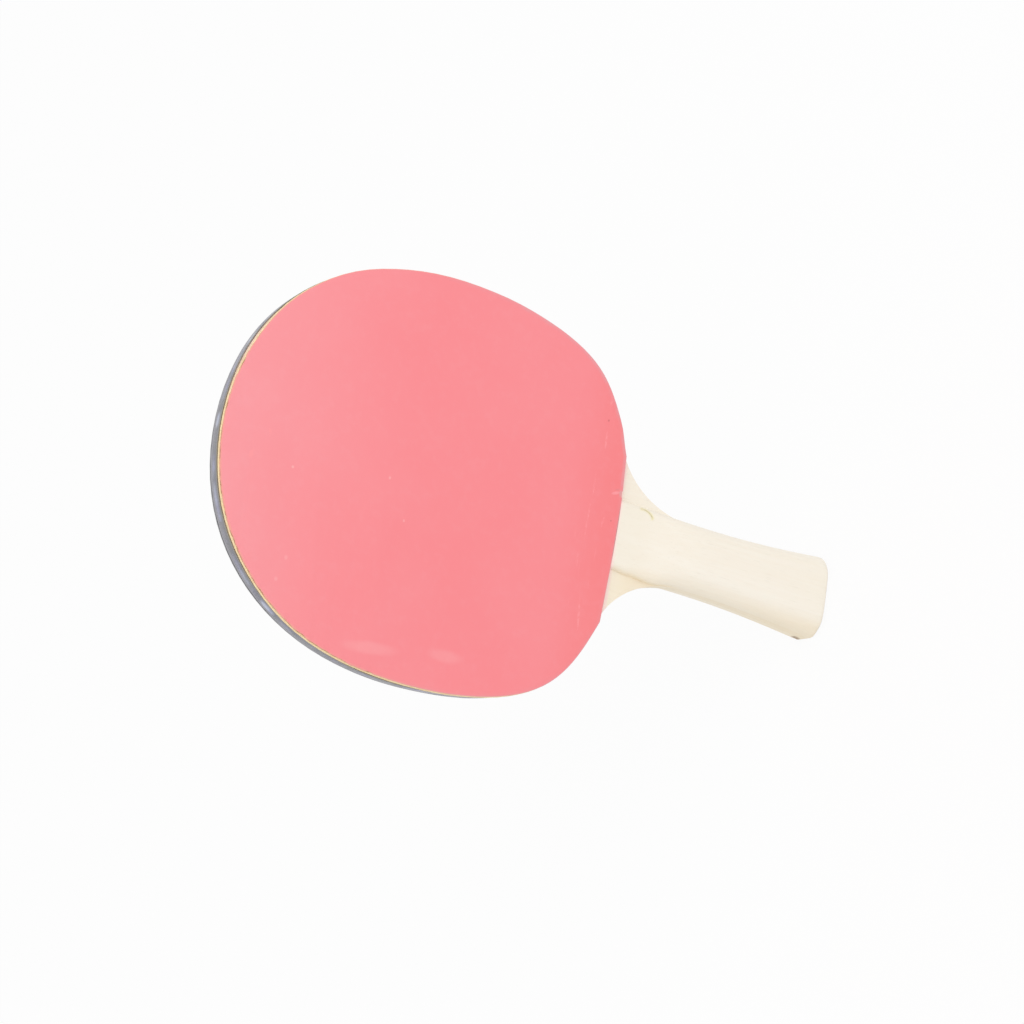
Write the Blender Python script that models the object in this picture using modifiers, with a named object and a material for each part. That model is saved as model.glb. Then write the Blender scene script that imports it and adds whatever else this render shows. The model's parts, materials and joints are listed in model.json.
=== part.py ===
"""Table tennis bat: a five-ply blade whose tang runs down between two handle scales, with a sponge and a
rubber sheet glued on each face of the head and a tape round the head's edge.

Sizes are in metres. The pieces are drawn flat, with x across the bat, y from the butt end to the tip and z out of
the front face. One empty then stands the bat on its butt end, with the tip up along +Z and its front facing -Y.
"""

import math

import bmesh
import bpy
from mathutils import Vector
from mathutils.geometry import interpolate_bezier

# Outline of the head
HEAD_WIDTH = 0.150
HEAD_LENGTH = 0.1588  # straight edge of the rubber to the tip
WIDEST_HEIGHT = 0.0745  # straight edge of the rubber to the widest line
CUT_WIDTH = 0.0638  # straight edge of the rubber, corner to corner
SHOULDER_SLOPE = math.radians(24.4)  # lean of the outline where the rubber ends

# Outline of the handle
HANDLE_LENGTH = 0.0978  # butt end to the straight edge of the rubber
NECK_WIDTH = 0.0256
NECK_HEIGHT = 0.0618  # narrowest place of the handle, above the butt end
BUTT_WIDTH = 0.0331
BUTT_FLARE = 0.105  # sideways growth of each edge per unit of length
BUTT_CORNER_RADIUS = 0.0030

# Reach of the outline's curves: how far a stretch keeps the direction of its end
TIP_REACH = 0.0465
UPPER_FLANK_REACH = 0.0490
LOWER_FLANK_REACH = 0.0540
SHOULDER_REACH = 0.0266
WING_REACH = 0.0071
WING_NECK_REACH = 0.0229
NECK_REACH = 0.0198
FLARE_REACH = 0.0216

# Layers, from the middle of the blade outwards
CORE_THICKNESS = 0.0024
CROSS_THICKNESS = 0.0006
FACE_THICKNESS = 0.0006
SPONGE_THICKNESS = 0.0015
SHEET_THICKNESS = 0.0012
GLUE_LINE = 0.0001  # glue film between two layers

# Handle scales
SCALE_THICKNESS = 0.0086
SCALE_CROWN = 0.0005  # rise of the middle of a scale over its edges
SCALE_ROUND_WIDTH = 0.0080  # rounding of a scale's long edges, across the bat
SCALE_ROUND_DEPTH = 0.0062  # the same, through the bat
TOE_THICKNESS = 0.0029
TOE_WIDTH = 0.0280
TOE_ROUND_WIDTH = 0.0024  # rounding of the long edges at the toe, across the bat
TOE_ROUND_DEPTH = 0.0020  # the same, through the bat
TOE_REACH = 0.014  # how far the scale keeps its direction at the toe and above the neck
RAMP_LENGTH = 0.040  # toe to full thickness
BUTT_EDGE_RADIUS = 0.0020
ROUND_LIMIT = 0.9  # most that a rounding may take of a scale's half width or of its side
TOE_GAP = 0.0003  # clearance between the rubber's straight edge and the scales

# Edge tape
TAPE_THICKNESS = 0.0004
TAPE_OVERLAP = 0.0002  # tape standing past the blade's faces on each side

# Points on each stretch of an outline
CURVE_STEPS = 24
CORNER_STEPS = 6
ROUND_STEPS = 6
CROWN_STEPS = 3

OBJECT_NAME = "table_tennis_bat"
WELD_DISTANCE = 1e-6
SHADE_ANGLE = math.radians(35)

TIP = Vector((0, HANDLE_LENGTH + HEAD_LENGTH))
WIDEST = Vector((HEAD_WIDTH / 2, HANDLE_LENGTH + WIDEST_HEIGHT))
SHOULDER = Vector((CUT_WIDTH / 2, HANDLE_LENGTH))
NECK = Vector((NECK_WIDTH / 2, NECK_HEIGHT))
TOE = Vector((TOE_WIDTH / 2, HANDLE_LENGTH - TOE_GAP))


def clear_scene():
    for old in list(bpy.data.objects):
        bpy.data.objects.remove(old, do_unlink=True)


def material(name, colour, roughness):
    made = bpy.data.materials.new(name)
    made.use_nodes = True
    shader = made.node_tree.nodes["Principled BSDF"]
    shader.inputs["Base Color"].default_value = (*colour, 1)
    shader.inputs["Roughness"].default_value = roughness
    shader.inputs["Metallic"].default_value = 0
    return made


def curve(start, leaving, arriving, end):
    """Points of one Bezier stretch from start to end, with its two handles as offsets from its ends."""
    return interpolate_bezier(start, start + Vector(leaving), end + Vector(arriving), end, CURVE_STEPS + 1)


def join(*stretches):
    """One run of points from stretches that share their end points."""
    run = list(stretches[0])
    for stretch in stretches[1:]:
        run += stretch[1:]
    return run


def head_side():
    """Right side of the head, from the rubber's straight edge to the tip."""
    along = Vector((math.cos(SHOULDER_SLOPE), math.sin(SHOULDER_SLOPE)))
    flank = curve(SHOULDER, along * SHOULDER_REACH, (0, -LOWER_FLANK_REACH), WIDEST)
    crown = curve(WIDEST, (0, UPPER_FLANK_REACH), (TIP_REACH, 0), TIP)
    return join(flank, crown)


def wing_side():
    """Right side of the blade from the handle's neck out to the head's shoulder."""
    along = Vector((math.cos(SHOULDER_SLOPE), math.sin(SHOULDER_SLOPE)))
    return curve(NECK, (0, WING_NECK_REACH), -along * WING_REACH, SHOULDER)


def handle_side():
    """Right side of the handle from its butt end to the neck, with the butt's rounded corner."""
    corner = []
    for step in range(CORNER_STEPS + 1):
        turn = math.pi / 2 * step / CORNER_STEPS
        height = BUTT_CORNER_RADIUS * (1 - math.cos(turn))
        inset = BUTT_CORNER_RADIUS * (1 - math.sin(turn))
        corner.append(Vector((BUTT_WIDTH / 2 - BUTT_FLARE * height - inset, height)))
    lean = Vector((-BUTT_FLARE, 1))
    flare = curve(corner[-1], lean * FLARE_REACH, (0, -NECK_REACH), NECK)
    return join(corner, flare)


def closed_outline(right_side):
    """The right side from bottom to top, then its mirror image back down."""
    left_side = [Vector((-point.x, point.y)) for point in reversed(right_side) if point.x > 0]
    return right_side + left_side


def mesh_from_curve(name, points, closed, height):
    """A flat outline raised to a plate, or an open path raised to a ribbon, as a welded mesh about z = 0."""
    shape = bpy.data.curves.new(name, "CURVE")
    shape.dimensions = "2D"
    shape.fill_mode = "BOTH" if closed else "NONE"
    shape.extrude = height / 2
    spline = shape.splines.new("POLY")
    spline.points.add(len(points) - 1)
    for target, point in zip(spline.points, points):
        target.co = (point.x, point.y, 0, 1)
    spline.use_cyclic_u = closed
    holder = bpy.data.objects.new(name, shape)
    bpy.context.collection.objects.link(holder)
    drawn = holder.evaluated_get(bpy.context.evaluated_depsgraph_get())
    mesh = bpy.data.meshes.new_from_object(drawn)
    bpy.data.objects.remove(holder)
    bpy.data.curves.remove(shape)
    welded = bmesh.new()
    welded.from_mesh(mesh)
    bmesh.ops.remove_doubles(welded, verts=welded.verts, dist=WELD_DISTANCE)
    bmesh.ops.recalc_face_normals(welded, faces=welded.faces)
    welded.to_mesh(mesh)
    welded.free()
    mesh.name = name
    return mesh


def add_part(name, mesh, finish, parent, home, height=0.0, turn=0.0):
    """Place a mesh as a named part, at a height over the blade's middle and turned about the bat's long axis."""
    if not mesh.materials:
        mesh.shade_smooth()
        mesh.set_sharp_from_angle(angle=SHADE_ANGLE)
        mesh.materials.append(finish)
    part = bpy.data.objects.new(name, mesh)
    part.location = (0, 0, height)
    part.rotation_euler = (0, turn, 0)
    part.parent = parent
    home.objects.link(part)
    return part


def add_pair(name, outline, thickness, inner_face, finishes, parent, home):
    """A layer on each side of the blade, whose inner face lies at inner_face from the blade's middle."""
    middle = inner_face + thickness / 2
    for side, direction, finish in (("front", 1, finishes[0]), ("back", -1, finishes[1])):
        node = f"{side}_{name}"
        mesh = mesh_from_curve(node, outline, True, thickness)
        add_part(node, mesh, finish, parent, home, height=direction * middle)


def smooth_step(value):
    held = min(max(value, 0), 1)
    return held * held * (3 - 2 * held)


def scale_ring(half_width, height):
    """Section of a scale across the handle, as (x, z) points from one edge of its glue face to the other."""
    rise = smooth_step((TOE.y - height) / RAMP_LENGTH)
    thickness = TOE_THICKNESS + (SCALE_THICKNESS - TOE_THICKNESS) * rise
    if height < BUTT_EDGE_RADIUS:
        fall = BUTT_EDGE_RADIUS - height
        thickness -= BUTT_EDGE_RADIUS - math.sqrt(BUTT_EDGE_RADIUS**2 - fall**2)
    round_width = TOE_ROUND_WIDTH + (SCALE_ROUND_WIDTH - TOE_ROUND_WIDTH) * rise
    round_depth = TOE_ROUND_DEPTH + (SCALE_ROUND_DEPTH - TOE_ROUND_DEPTH) * rise
    round_width = min(round_width, ROUND_LIMIT * half_width)
    round_depth = min(round_depth, ROUND_LIMIT * (thickness - SCALE_CROWN))
    right = [(half_width, 0)]
    for step in range(ROUND_STEPS + CROWN_STEPS + 1):
        turn = math.pi / 2 * min(step / ROUND_STEPS, 1)
        across = half_width - round_width * (1 - math.cos(turn))
        if step > ROUND_STEPS:
            across *= 1 - (step - ROUND_STEPS) / CROWN_STEPS
        crown = SCALE_CROWN * (across / half_width) ** 2
        right.append((across, thickness - crown - round_depth * (1 - math.sin(turn))))
    left = [(-x, z) for x, z in reversed(right[:-1])]
    return right + left


def scale_mesh(name):
    """Handle scale lofted from its toe at the rubber to the butt end, its glue face on z = 0."""
    toe_side = curve(TOE, (0, -TOE_REACH), (0, TOE_REACH), NECK)
    stations = join(toe_side, handle_side()[::-1])
    loft = bmesh.new()
    rings = []
    for station in stations:
        rings.append([loft.verts.new((x, station.y, z)) for x, z in scale_ring(station.x, station.y)])
    for ring, following in zip(rings, rings[1:]):
        for place in range(len(ring)):
            after = (place + 1) % len(ring)
            loft.faces.new((ring[place], ring[after], following[after], following[place]))
    loft.faces.new(rings[0])
    loft.faces.new(rings[-1])
    bmesh.ops.recalc_face_normals(loft, faces=loft.faces)
    mesh = bpy.data.meshes.new(name)
    loft.to_mesh(mesh)
    loft.free()
    return mesh


def offset_path(points, distance):
    """The path moved sideways, to the outside of the head."""
    moved = []
    for place, point in enumerate(points):
        before = points[max(place - 1, 0)]
        after = points[min(place + 1, len(points) - 1)]
        along = (after - before).normalized()
        moved.append(point + Vector((along.y, -along.x)) * distance)
    return moved


def main():
    clear_scene()
    home = bpy.data.collections.new(OBJECT_NAME)
    bpy.context.scene.collection.children.link(home)
    stand = bpy.data.objects.new("bat_axis", None)
    stand.rotation_euler = (math.pi / 2, 0, 0)
    home.objects.link(stand)

    pale_wood = material("pale_wood", (0.93, 0.86, 0.73), 0.55)
    cross_wood = material("cross_wood", (0.76, 0.64, 0.46), 0.6)
    core_wood = material("core_wood", (0.86, 0.76, 0.58), 0.6)
    scale_wood = material("scale_wood", (0.92, 0.86, 0.74), 0.5)
    red_rubber = material("red_rubber", (0.93, 0.28, 0.31), 0.45)
    black_rubber = material("black_rubber", (0.05, 0.05, 0.055), 0.4)
    yellow_sponge = material("yellow_sponge", (0.97, 0.77, 0.42), 0.9)
    dark_sponge = material("dark_sponge", (0.06, 0.06, 0.066), 0.9)
    tape_film = material("tape_film", (0.15, 0.15, 0.18), 0.25)

    blade = closed_outline(join(handle_side(), wing_side(), head_side()))
    core = mesh_from_curve("core_ply", blade, True, CORE_THICKNESS)
    add_part("core_ply", core, core_wood, stand, home)
    cross_inner = CORE_THICKNESS / 2 + GLUE_LINE
    add_pair("cross_ply", blade, CROSS_THICKNESS, cross_inner, (cross_wood, cross_wood), stand, home)
    face_inner = cross_inner + CROSS_THICKNESS + GLUE_LINE
    add_pair("face_ply", blade, FACE_THICKNESS, face_inner, (pale_wood, pale_wood), stand, home)
    blade_face = face_inner + FACE_THICKNESS

    head = closed_outline(head_side())
    sponge_inner = blade_face + GLUE_LINE
    add_pair("sponge", head, SPONGE_THICKNESS, sponge_inner, (yellow_sponge, dark_sponge), stand, home)
    sheet_inner = sponge_inner + SPONGE_THICKNESS + GLUE_LINE
    add_pair("rubber_sheet", head, SHEET_THICKNESS, sheet_inner, (red_rubber, black_rubber), stand, home)

    scale = scale_mesh("handle_scale")
    scale_foot = blade_face + GLUE_LINE
    add_part("front_handle_scale", scale, scale_wood, stand, home, height=scale_foot)
    add_part("back_handle_scale", scale, scale_wood, stand, home, height=-scale_foot, turn=math.pi)

    rim = head_side()
    rim += [Vector((-point.x, point.y)) for point in reversed(rim[:-1])]
    path = offset_path(rim, GLUE_LINE + TAPE_THICKNESS / 2)
    ribbon = mesh_from_curve("edge_tape", path, False, 2 * (blade_face + TAPE_OVERLAP))
    tape = add_part("edge_tape", ribbon, tape_film, stand, home)
    wall = tape.modifiers.new("thickness", "SOLIDIFY")
    wall.thickness = TAPE_THICKNESS
    wall.offset = 0
    wall.use_even_offset = True


main()
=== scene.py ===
"""Looks of a table tennis bat: red and black rubbers on foam, a taped edge and a bare wooden handle.

Metres, in the frame of the solids: +Z runs up the handle to the head's tip, and the red face looks to -Y.
"""

import json
import math

import bmesh
import bpy
from mathutils import Matrix, Quaternion, Vector

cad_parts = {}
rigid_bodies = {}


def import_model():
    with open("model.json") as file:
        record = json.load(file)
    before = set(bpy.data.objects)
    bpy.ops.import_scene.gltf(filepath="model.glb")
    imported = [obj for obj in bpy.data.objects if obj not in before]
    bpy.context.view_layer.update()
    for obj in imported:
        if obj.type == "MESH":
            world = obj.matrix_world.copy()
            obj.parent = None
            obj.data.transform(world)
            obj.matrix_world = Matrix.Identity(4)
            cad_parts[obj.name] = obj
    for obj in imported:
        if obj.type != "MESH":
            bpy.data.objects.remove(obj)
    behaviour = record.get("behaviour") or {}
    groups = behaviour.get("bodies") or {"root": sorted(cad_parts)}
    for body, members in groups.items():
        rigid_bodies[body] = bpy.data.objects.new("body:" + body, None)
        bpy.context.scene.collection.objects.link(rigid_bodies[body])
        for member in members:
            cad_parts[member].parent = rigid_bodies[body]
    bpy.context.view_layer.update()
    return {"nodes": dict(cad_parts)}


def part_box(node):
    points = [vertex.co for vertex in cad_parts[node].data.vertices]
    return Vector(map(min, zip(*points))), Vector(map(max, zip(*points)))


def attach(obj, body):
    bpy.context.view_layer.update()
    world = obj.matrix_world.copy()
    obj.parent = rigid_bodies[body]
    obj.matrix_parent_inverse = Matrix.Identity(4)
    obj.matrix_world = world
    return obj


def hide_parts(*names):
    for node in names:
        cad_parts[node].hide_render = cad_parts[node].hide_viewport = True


for old in list(bpy.data.objects):
    bpy.data.objects.remove(old)
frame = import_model()

MM = 0.001
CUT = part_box("front_rubber_sheet")[0].z  # height of the rubbers' straight edge
SHEET_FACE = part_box("back_rubber_sheet")[1].y  # depth of the rubbers' faces from the middle of the bat
FOAM_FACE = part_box("back_sponge")[1].y
HEAD_MIDDLE = sum(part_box("edge_tape"), Vector()) / 2

# Camera at the photograph's viewing angle
LOOK_AT = Vector((-0.0025, 0, CUT + 0.0424))
DISTANCE = 0.6619
AZIMUTH = math.radians(-16.58)
ELEVATION = math.radians(26.64)
ROLL = math.radians(72.68)
LENS = 63.28
SENSOR = 36

# Light
WHITE = (1, 1, 1, 1)
WORLD_LIGHT = 0.90
KEY_PLACE = LOOK_AT + Vector((0.20, -1.05, 0.70))
KEY_SIZE = 0.9
KEY_POWER = 2.4
FLOOR_SIZE = 6
FLOOR_COLOUR = (0.9, 0.9, 0.9, 1)
FLOOR_GLOW = 0.90  # share of the floor's white that no shadow darkens

# Joining, selecting and shading of meshes
MERGE = 1e-6  # corners this near to each other are one
DIGITS = 6  # corners whose places agree to this many digits are in one row
NEAR = 0.02 * MM  # a corner this near to a plane lies on it
AT_PLACE = 1 * MM  # corners this near to a place are moved with it
FLAT = math.radians(0.5)  # faces that turn by less than this are one
SHARP = math.radians(35)  # edges that turn by more than this stay sharp
ROUND = 3  # segments of a rounded edge
CHAMFER = 1  # segments of a bevelled edge
SIDE_NORMAL = 0.5  # the normal of a plate's side has less than this along Y
END_NORMAL = 0.9  # the normal of a pip's end has more than this along Y
FRONT_NORMAL = 0.3  # the normal of the handle's front has more than this towards -Y
EVEN = 0.5  # level of a noise that moves a surface in as far as out

# Rubber sheets
PIP_HEIGHT = 0.52 * MM
SHEET_SOLID = SHEET_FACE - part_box("back_rubber_sheet")[0].y - PIP_HEIGHT  # thickness without the pips
PIP_RADIUS = 0.72 * MM
PIP_PITCH = 2.6 * MM
PIP_INSET = 0.75 * MM
PIP_BAND = 5.5 * MM  # how far in from the sheet's edge the pips can be seen
PIP_ROOT = 0.05 * MM  # how far a pip runs into the sheet and the foam
PIP_SIDES = 10
PIP_TAPER = 0.88
SHEET_EDGE = 0.18 * MM
RIM_BAND = 2.2 * MM  # width of the worn rim of a sheet
RIM_CUTS = 5  # new corners between two corners of the front sheet's outline
RIM_WAVE = 1.1 * MM  # range of the unevenness of the front sheet's outline round the tip
RIM_WAVE_GRAIN = 2.2 * MM
WAVE_FROM = 85 * MM  # above the straight edge
WAVE_TO = 25 * MM  # across the bat
WAVE_RIM = 0.5  # share of the way across the rim from which it moves with the outline
BACK_REACH = 0.28 * MM  # how far the straight edge of the back rubber lies below that of its solid
BACK_TRIM = 0.20 * MM  # the back rubber is cut this much inside the head's edge

# Foam
FOAM_EDGE = 0.12 * MM
FOAM_ROWS = 4  # new rows of corners round the foam's edge
FOAM_BULGE = 0.24 * MM
FOAM_BULGE_STEPS = (0.35, 0.15)  # shares of the thickness, from its middle, that bulge one after the other
FOAM_BULGE_FROM = 1 * MM  # above the straight edge
FOAM_CUTS = 5
FOAM_ROUGHNESS = 0.10 * MM
FOAM_GRAIN = 1.2 * MM
FOAM_LEVEL = 0.6

# Straight edge of the front rubber as cut by hand, from its lower to its upper corner in the photograph.
# Each corner is a place across the bat and above the edge, and the reach of the outline drawn with it.
FOAM_CUT = (
    (-34.6 * MM, 1.20 * MM, 0),
    (-14.0 * MM, 0.25 * MM, 0),
    (14.0 * MM, -0.10 * MM, 0),
    (30.4 * MM, 0.72 * MM, 12 * MM),
)
NICK = (
    (14.4 * MM, 0.22 * MM, 0),
    (16.4 * MM, 0.26 * MM, 0),
    (16.9 * MM, 0.04 * MM, 0),
)
SHEET_CUT = FOAM_CUT[:3] + NICK + FOAM_CUT[3:]
CORNER_CLEAR = 3.5 * MM  # the outline has no other corner this near to the lower end of the cut
# The rest of its outline is as uneven: places across the bat and above the straight edge, the move of the
# outline there (across, above) and how far along the outline it is felt
OUTLINE_MOVES = (
    (-59 * MM, 18 * MM, -0.72 * MM, -0.60 * MM, 36 * MM),
    (-73 * MM, 57 * MM, -0.34 * MM, 0, 34 * MM),
    (-66 * MM, 118 * MM, -0.48 * MM, 0.22 * MM, 36 * MM),
    (27 * MM, 154 * MM, -0.19 * MM, -0.46 * MM, 32 * MM),
    (63 * MM, 122 * MM, 0.26 * MM, 0.15 * MM, 20 * MM),
    (71 * MM, 40 * MM, -0.46 * MM, 0.12 * MM, 24 * MM),
    (57 * MM, 16 * MM, 0.32 * MM, -0.30 * MM, 18 * MM),
)
# The front scale follows the straight edge: how far its end moves up, and how it turns in the bat's face
TOE_RISE = 0.26 * MM
TOE_TURN = math.radians(0.70)

# Veneers
GLUE_SQUEEZE = 0.045 * MM  # how far each glued face is pressed into the glue line
PLY_EDGE = 0.02 * MM
WING_EDGE = 0.40 * MM
WING_LENGTH = 21 * MM  # below the rubbers' straight edge

# Tape
TAPE_SMOOTHING = 3
TAPE_CROWN = 0.21 * MM
TAPE_CROWN_STEPS = (0.3, 0.6, 0.9)  # shares of half the width from which the film falls one step more
TAPE_WRINKLE = 0.16 * MM
TAPE_GRAIN = 5 * MM
TAPE_LEVEL = 0.85

# Corner of the butt that lies lower in the photograph, which is almost square
CORNER_HEIGHT = 3 * MM  # height of the rounding that the solids have there
CORNER_RADIUS = 0.6 * MM
CORNER_FROM = 8 * MM  # the corner's side of the butt, from the middle of the bat
CORNER_FLARE = 0.67 * MM  # how much wider the butt is at its end than at this height
# It is less square towards the faces of the handle: shares of the move for the corners up to each depth
CORNER_SHARES = ((math.inf, 0.35), (8 * MM, 0.30), (5.5 * MM, 0.35))

# Lower side of the front scale, which is fuller beside the end of the wing: places below the rubbers'
# straight edge with the move across the bat and its reach
SIDE_FROM = 11 * MM
SIDE_MOVES = ((2 * MM, 0.7 * MM, 5 * MM), (18.8 * MM, -1.15 * MM, 9.5 * MM))
HANDLE_SMOOTHING = 1

# Dent in the front of the handle, an arc on its face
DENT_CENTRE = Vector((8.1 * MM, 0, CUT - 10.0 * MM))
DENT_RADIUS = 4.23 * MM
DENT_FROM = math.radians(-78)
DENT_TO = math.radians(18)
DENT_WIDTH = 0.42 * MM
DENT_DEPTH = 0.16 * MM
DENT_STEPS = (1.0, 0.6)  # shares of the width that are pressed in one after the other
DENT_CUTS = 4
DENT_FIELD = 2.5 * MM  # the mesh is finer this near to the arc
DENT_STAIN_WIDTH = 3.0 * DENT_WIDTH
DENT_DIRT_WIDTH = 1.3 * DENT_WIDTH

# Marks of the finishes
MARK_CORE = 0.35  # share of a mark's size within which it has its full strength
MARK_DEPTH = 1  # far more than the bat's, so that a mark reaches through it
THROUGH = 1000  # the same for the marks of the dent, in their widths

# Depth of the finest relief
RUBBER_RELIEF = 0.02 * MM
WOOD_RELIEF = 0.03 * MM
FOAM_RELIEF = 0.10 * MM
TAPE_RELIEF = 0.05 * MM

# Wear of the rubbers and the painted sheen on them: heights above the straight edge at which a change begins
# and at which it is complete
# painted sheen: a pale haze towards the tip
PAINTED_TIP_SHEEN = (85 * MM, 165 * MM)
# deeper red near the handle, away from the painted sheen
DEEP = (26 * MM, 2 * MM)
SCUFFED_FROM = (3 * MM, 9 * MM)
SCUFFED_TO = (21 * MM, 14 * MM)
NEAR_HANDLE = (105 * MM, 45 * MM)
# The same across the rim, in shares of its width: its face near the handle, with wear and a painted shade (a
# painted light on black rubber), and its side, a painted highlight
RIM_WEAR_AND_LIGHT = (0.12, 0.72)
RIM_SIDE = (0.76, 0.96)
# The same across the bat for the rim's band, which is fainter between the nick and the lower corner
RIM_FAINTER = (16 * MM, 11 * MM)
# The same in depth, from the sheet's inner side: its inside and its pips, which carry painted light and
# shade between the pips
INSIDE = (0.05 * MM, -0.03 * MM)
PIP_SIDE = (-0.06 * MM, -0.10 * MM)
SCUFF_STREAKS = (60, 60, 1500)  # how often the streaks repeat in a metre, along each axis

# Pale scuffs on the red face: place across the bat and above the straight edge, length and width, in
# millimetres, and lean in degrees
RED_SCUFFS = (
    (49.0, 11.2, 8.0, 2.0, 3),
    (34.0, 10.8, 10.0, 1.3, 2),
    (15.5, 12.9, 12.0, 1.2, 0),
    (2.0, 13.4, 20.0, 1.2, -1),
    (2.5, 6.8, 6.5, 1.2, -10),
    (-14.0, 15.0, 7.5, 1.2, 6),
    (-34.0, 10.8, 18.0, 1.3, 6),
    (-2.5, 142.0, 6.0, 1.4, 6),
    (-11.8, 147.0, 5.0, 2.6, -30),
)
# Dots, streaks and dull smears there: colour and strength, then as above
DARK_DOT = (0.60, 0.13, 0.14)
PALE_DUST = (1.00, 0.46, 0.47)
RED_SMEARS = (
    (DARK_DOT, 0.6, 41.8, 11.0, 1.3, 1.0),
    (DARK_DOT, 0.6, 4.1, 3.3, 0.9, 0.8),
    (PALE_DUST, 0.8, -12.0, 131.5, 1.3, 1.3),
    (PALE_DUST, 0.6, -5.5, 95.3, 1.5, 1.2),
    (PALE_DUST, 0.6, -19.0, 87.0, 1.4, 1.1),
    (PALE_DUST, 0.4, -43.2, 127.4, 2.2, 1.6),
    (PALE_DUST, 0.4, -51.2, 129.4, 2.0, 1.8),
    (PALE_DUST, 0.25, -65.9, 90.7, 27.0, 6.0, -84),
    (PALE_DUST, 0.22, -62.1, 61.8, 18.0, 6.0, -87),
    ((1.00, 0.36, 0.38), 0.8, 15.2, 3.0, 5.4, 1.6, -68),
    ((0.80, 0.26, 0.27), 0.5, 16.7, 2.5, 3.2, 0.9, -68),
    ((0.74, 0.40, 0.38), 0.85, 15.6, 0.85, 3.4, 1.6, 3),
)

# Foam: depths at which a change begins and at which it is complete
# darker next to the tape
DARKER_BY_TAPE = (3.0 * MM, 2.8 * MM)  # from the middle of the bat
# painted shade on the foam's face under the sheet, between the pips
PIP_GAP_SHADE = (-0.13 * MM, -0.03 * MM)  # from the foam's face

# Painted sheen of the tape, across it from its middle
SHEEN_MIDDLE = 0.2 * MM
SHEEN_REACH = (2.3 * MM, 0.1 * MM)  # from the sheen's middle
# the film's borders, painted paler against the shade at its edges
BACK_BORDER_LIGHT = (1.2 * MM, 2.4 * MM)
FRONT_BORDER_LIGHT = (-1.2 * MM, -2.6 * MM)
TAPE_LINES = (30, 7000, 30)  # how often the lines repeat in a metre, along each axis
SHEEN_STRETCH = (1, 0.35, 1)
# Painted gleams along it, each a strength and then a mark like the scuffs, and plain stretches without the
# painted sheen, marks alone
PAINTED_TAPE_GLEAMS = (
    (0.9, -2.5, 159.5, 7.5, 3.0, -2),
    (1.0, -60.3, 129.0, 6.5, 3.0, 52),
    (0.4, -52.5, 138.2, 8.5, 3.0, 46),
    (0.4, -26.7, 154.7, 8.0, 3.0, 20),
)
TAPE_PLAIN_STRETCHES = (
    (-11.1, 158.8, 9.0, 5.0, 10),
    (-44.0, 145.6, 7.0, 5.0, 34),
    (-63.6, 124.6, 4.5, 5.0, 60),
)

# Grain of the wood: how often each pattern repeats in a metre, across the bat, through it and along it
GROWTH_BANDS = (70, 110, 3)
FIBRES = (900, 900, 22)
PORES = (3200, 3200, 150)
# streaks in the painted shade of the handle's lower edge
LOWER_SHADE_STREAKS = (300, 300, 40)

# Stains and painted light and shade of the wood: where a change begins and where it is complete, across the
# bat (X), in depth from its middle (Y) and above the rubbers' straight edge (Z)
FRONT_Y = (0, -1 * MM)
# painted shade along the lower edge of the handle
LOWER_SHADE_X = (-8.5 * MM, -15.5 * MM)
LOWER_SHADE_Z = (0, -14 * MM)
# painted shade on the lower side of the scales
TOE_SHADE_X = (-5 * MM, -9 * MM)
TOE_SHADE_Y = (5.35 * MM, 4.5 * MM)
TOE_SHADE_Z = (-34 * MM, -18 * MM)
TOE_TAN_Z = (-20 * MM, -8 * MM)
# painted pink light along the rubber's straight edge, lifting the shade there, reaching lower where the wood
# lies deeper
PINK_LIFT_Z = (-1.3 * MM, -0.1 * MM)
PINK_LIFT_LEAN = 0.5  # how much lower it reaches, for each bit of depth below the rubber's face
YELLOWED_WING = (-24.0, -6.0, 30.0, 22.0)  # a mark like the scuffs
# brown patch on the corner of the butt
BROWN_PATCH_PLACE = (-17.3 * MM, 3.5 * MM, 2.4 * MM)
BROWN_PATCH_SIZE = (1.9 * MM, 2.6 * MM, 3.1 * MM)


class Value:
    """A socket of a material's nodes. Arithmetic on values adds Math nodes to the material."""

    def __init__(self, tree, socket):
        self.tree = tree
        self.socket = socket

    def node(self, kind, settings, sockets, output=0):
        """Any other node of the material: its settings come first, then numbers or links for its sockets."""
        made = self.tree.nodes.new(kind)
        for name, setting in settings.items():
            setattr(made, name, setting)
        for name, given in sockets.items():
            if isinstance(given, Value):
                self.tree.links.new(given.socket, made.inputs[name])
            else:
                made.inputs[name].default_value = given
        return Value(self.tree, made.outputs[output])

    def math(self, operation, first, second):
        return self.node("ShaderNodeMath", {"operation": operation}, {0: first, 1: second})

    def __add__(self, other):
        return self.math("ADD", self, other)

    __radd__ = __add__

    def __sub__(self, other):
        return self.math("SUBTRACT", self, other)

    def __rsub__(self, other):
        return self.math("SUBTRACT", other, self)

    def __mul__(self, other):
        return self.math("MULTIPLY", self, other)

    __rmul__ = __mul__


def stretched(place, scale, turn=(0, 0, 0)):
    """The place with each of its axes scaled, for a pattern that is long one way and fine the other."""
    return place.node("ShaderNodeMapping", {}, {"Vector": place, "Rotation": turn, "Scale": scale})


def noise(place, scale, detail=2.0, roughness=0.5, distortion=0.0):
    """Soft noise from 0 to 1, with about this many grains in a metre."""
    sockets = {
        "Vector": place,
        "Scale": scale,
        "Detail": detail,
        "Roughness": roughness,
        "Distortion": distortion,
    }
    return place.node("ShaderNodeTexNoise", {}, sockets)


def cells(place, scale):
    """Distance to the middle of the nearest of many cells, in cell widths."""
    return place.node("ShaderNodeTexVoronoi", {}, {"Vector": place, "Scale": scale})


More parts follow.
